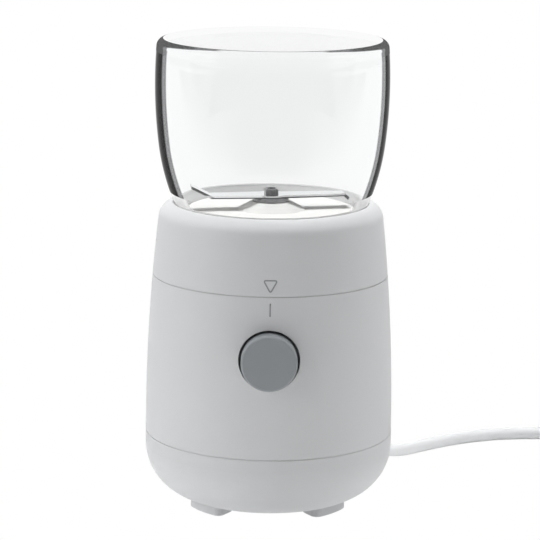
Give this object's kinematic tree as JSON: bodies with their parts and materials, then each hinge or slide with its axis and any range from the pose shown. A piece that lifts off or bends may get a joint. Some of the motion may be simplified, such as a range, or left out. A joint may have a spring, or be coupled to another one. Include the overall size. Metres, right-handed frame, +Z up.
{
  "type": "electric coffee grinder",
  "caption": "Jar-topped electric blade grinder: a bowed round motor base with a push button, a twist-lock blade collar, an upturned glass jar and a mains cord with plug.",
  "frame": {"origin": "point on the table under the body's axis, between the feet", "axes": "+Z up along the body's axis; the button faces -Y; +X is to the right seen from the button's side"},
  "size_m": [0.3118, 0.1543, 0.198],
  "materials": {
    "housing_plastic": "fine moulded texture, light grey",
    "inner_plastic": "moulded, pale grey",
    "button_plastic": "fine moulded texture, mid grey",
    "floor_plastic": "translucent white, smooth",
    "jar_glass": "clear pressed glass",
    "seal_silicone": "soft white silicone",
    "blade_steel": "polished stainless, ground edges",
    "hub_steel": "turned steel",
    "shaft_steel": "ground steel",
    "screw_steel": "zinc-plated",
    "bridge_aluminium": "die-cast",
    "core_steel": "stacked laminations, lacquered",
    "winding_copper": "enamelled copper wire",
    "commutator_copper": "bare copper",
    "brush_carbon": "pressed carbon",
    "spring_steel": "spring wire",
    "bush_bronze": "sintered bronze",
    "coupling_nylon": "black nylon",
    "mount_rubber": "soft black rubber",
    "switch_plastic": "black moulding",
    "plunger_plastic": "white nylon",
    "cord_vinyl": "soft white vinyl",
    "tie_plastic": "soft white strap",
    "pin_nickel": "nickel-plated brass"
  },
  "bodies": {
    "motor_base": {"bottom_cover": "housing_plastic", "foot_1": "housing_plastic", "foot_2": "housing_plastic", "foot_3": "housing_plastic", "foot_4": "housing_plastic", "cover_screws": "screw_steel", "motor_housing": "housing_plastic", "top_deck": "inner_plastic", "motor_mounts": "mount_rubber", "motor_bolts": "screw_steel", "upper_bridge": "bridge_aluminium", "lower_bridge": "bridge_aluminium", "upper_bearing": "shaft_steel", "lower_bearing": "shaft_steel", "stator_core": "core_steel", "field_coils": "winding_copper", "brush_holders": "inner_plastic", "carbon_brushes": "brush_carbon", "brush_springs": "spring_steel", "button_spring": "spring_steel", "switch_carrier": "inner_plastic", "carrier_screws": "screw_steel", "run_switch": "switch_plastic", "switch_terminals": "commutator_copper", "interlock_switch": "switch_plastic", "interlock_spring": "spring_steel", "strain_relief": "cord_vinyl", "inner_cord": "cord_vinyl", "power_cord": "cord_vinyl", "cord_coil": "cord_vinyl", "cord_tail": "cord_vinyl", "cord_tie": "tie_plastic", "plug_body": "cord_vinyl", "plug_pins": "pin_nickel"},
    "armature": {"motor_shaft": "shaft_steel", "armature_core": "core_steel", "armature_windings": "winding_copper", "commutator": "commutator_copper", "cooling_fan": "coupling_nylon", "drive_coupling": "coupling_nylon"},
    "blade_base": {"collar": "housing_plastic", "grinding_floor": "floor_plastic", "floor_screws": "screw_steel", "jar_seal": "seal_silicone", "blade_bushes": "bush_bronze", "shaft_seal": "seal_silicone"},
    "jar": {"glass_jar": "jar_glass"},
    "blade_rotor": {"blade_shaft": "shaft_steel", "hub_disc": "hub_steel", "blade": "blade_steel", "blade_nut": "hub_steel", "thrust_washer": "shaft_steel", "driven_coupling": "coupling_nylon"},
    "button": {"button_cap": "button_plastic"},
    "switch_plunger": {"switch_plunger": "plunger_plastic"},
    "interlock": {"interlock_plunger": "plunger_plastic"}
  },
  "joints": [
    {"name": "motor_spin", "type": "hinge", "parent": "motor_base", "child": "armature", "pos_m": [0, 0, 0.06], "axis": [0, 0, 1], "continuous": true},
    {"name": "head_twist", "type": "hinge", "parent": "motor_base", "child": "blade_base", "pos_m": [0, 0, 0.1], "axis": [0, 0, 1], "range_deg": [0, 30]},
    {"name": "jar_lift", "type": "slide", "parent": "blade_base", "child": "jar", "axis": [0, 0, 1], "range_m": [0, 0.09]},
    {"name": "blade_spin", "type": "hinge", "parent": "blade_base", "child": "blade_rotor", "pos_m": [0, 0, 0.12], "axis": [0, 0, 1], "continuous": true},
    {"name": "button_press", "type": "slide", "parent": "motor_base", "child": "button", "axis": [0, 1, 0], "range_m": [0, 0.003], "stiffness_N_per_m": 500, "springref_m": -0.003, "deforming": ["button_spring"]},
    {"name": "switch_press", "type": "slide", "parent": "motor_base", "child": "switch_plunger", "axis": [0, 1, 0], "range_m": [0, 0.003]},
    {"name": "interlock_slide", "type": "slide", "parent": "motor_base", "child": "interlock", "axis": [0, 0, 1], "range_m": [0, 0.00301], "deforming": ["interlock_spring"]}
  ],
  "couplings": [
    {"joint": "blade_spin", "follows": "motor_spin", "ratio": 1},
    {"joint": "switch_press", "follows": "button_press", "ratio": 1},
    {"joint": "interlock_slide", "follows": "head_twist", "m_per_rad": 0.0057296}
  ]
}
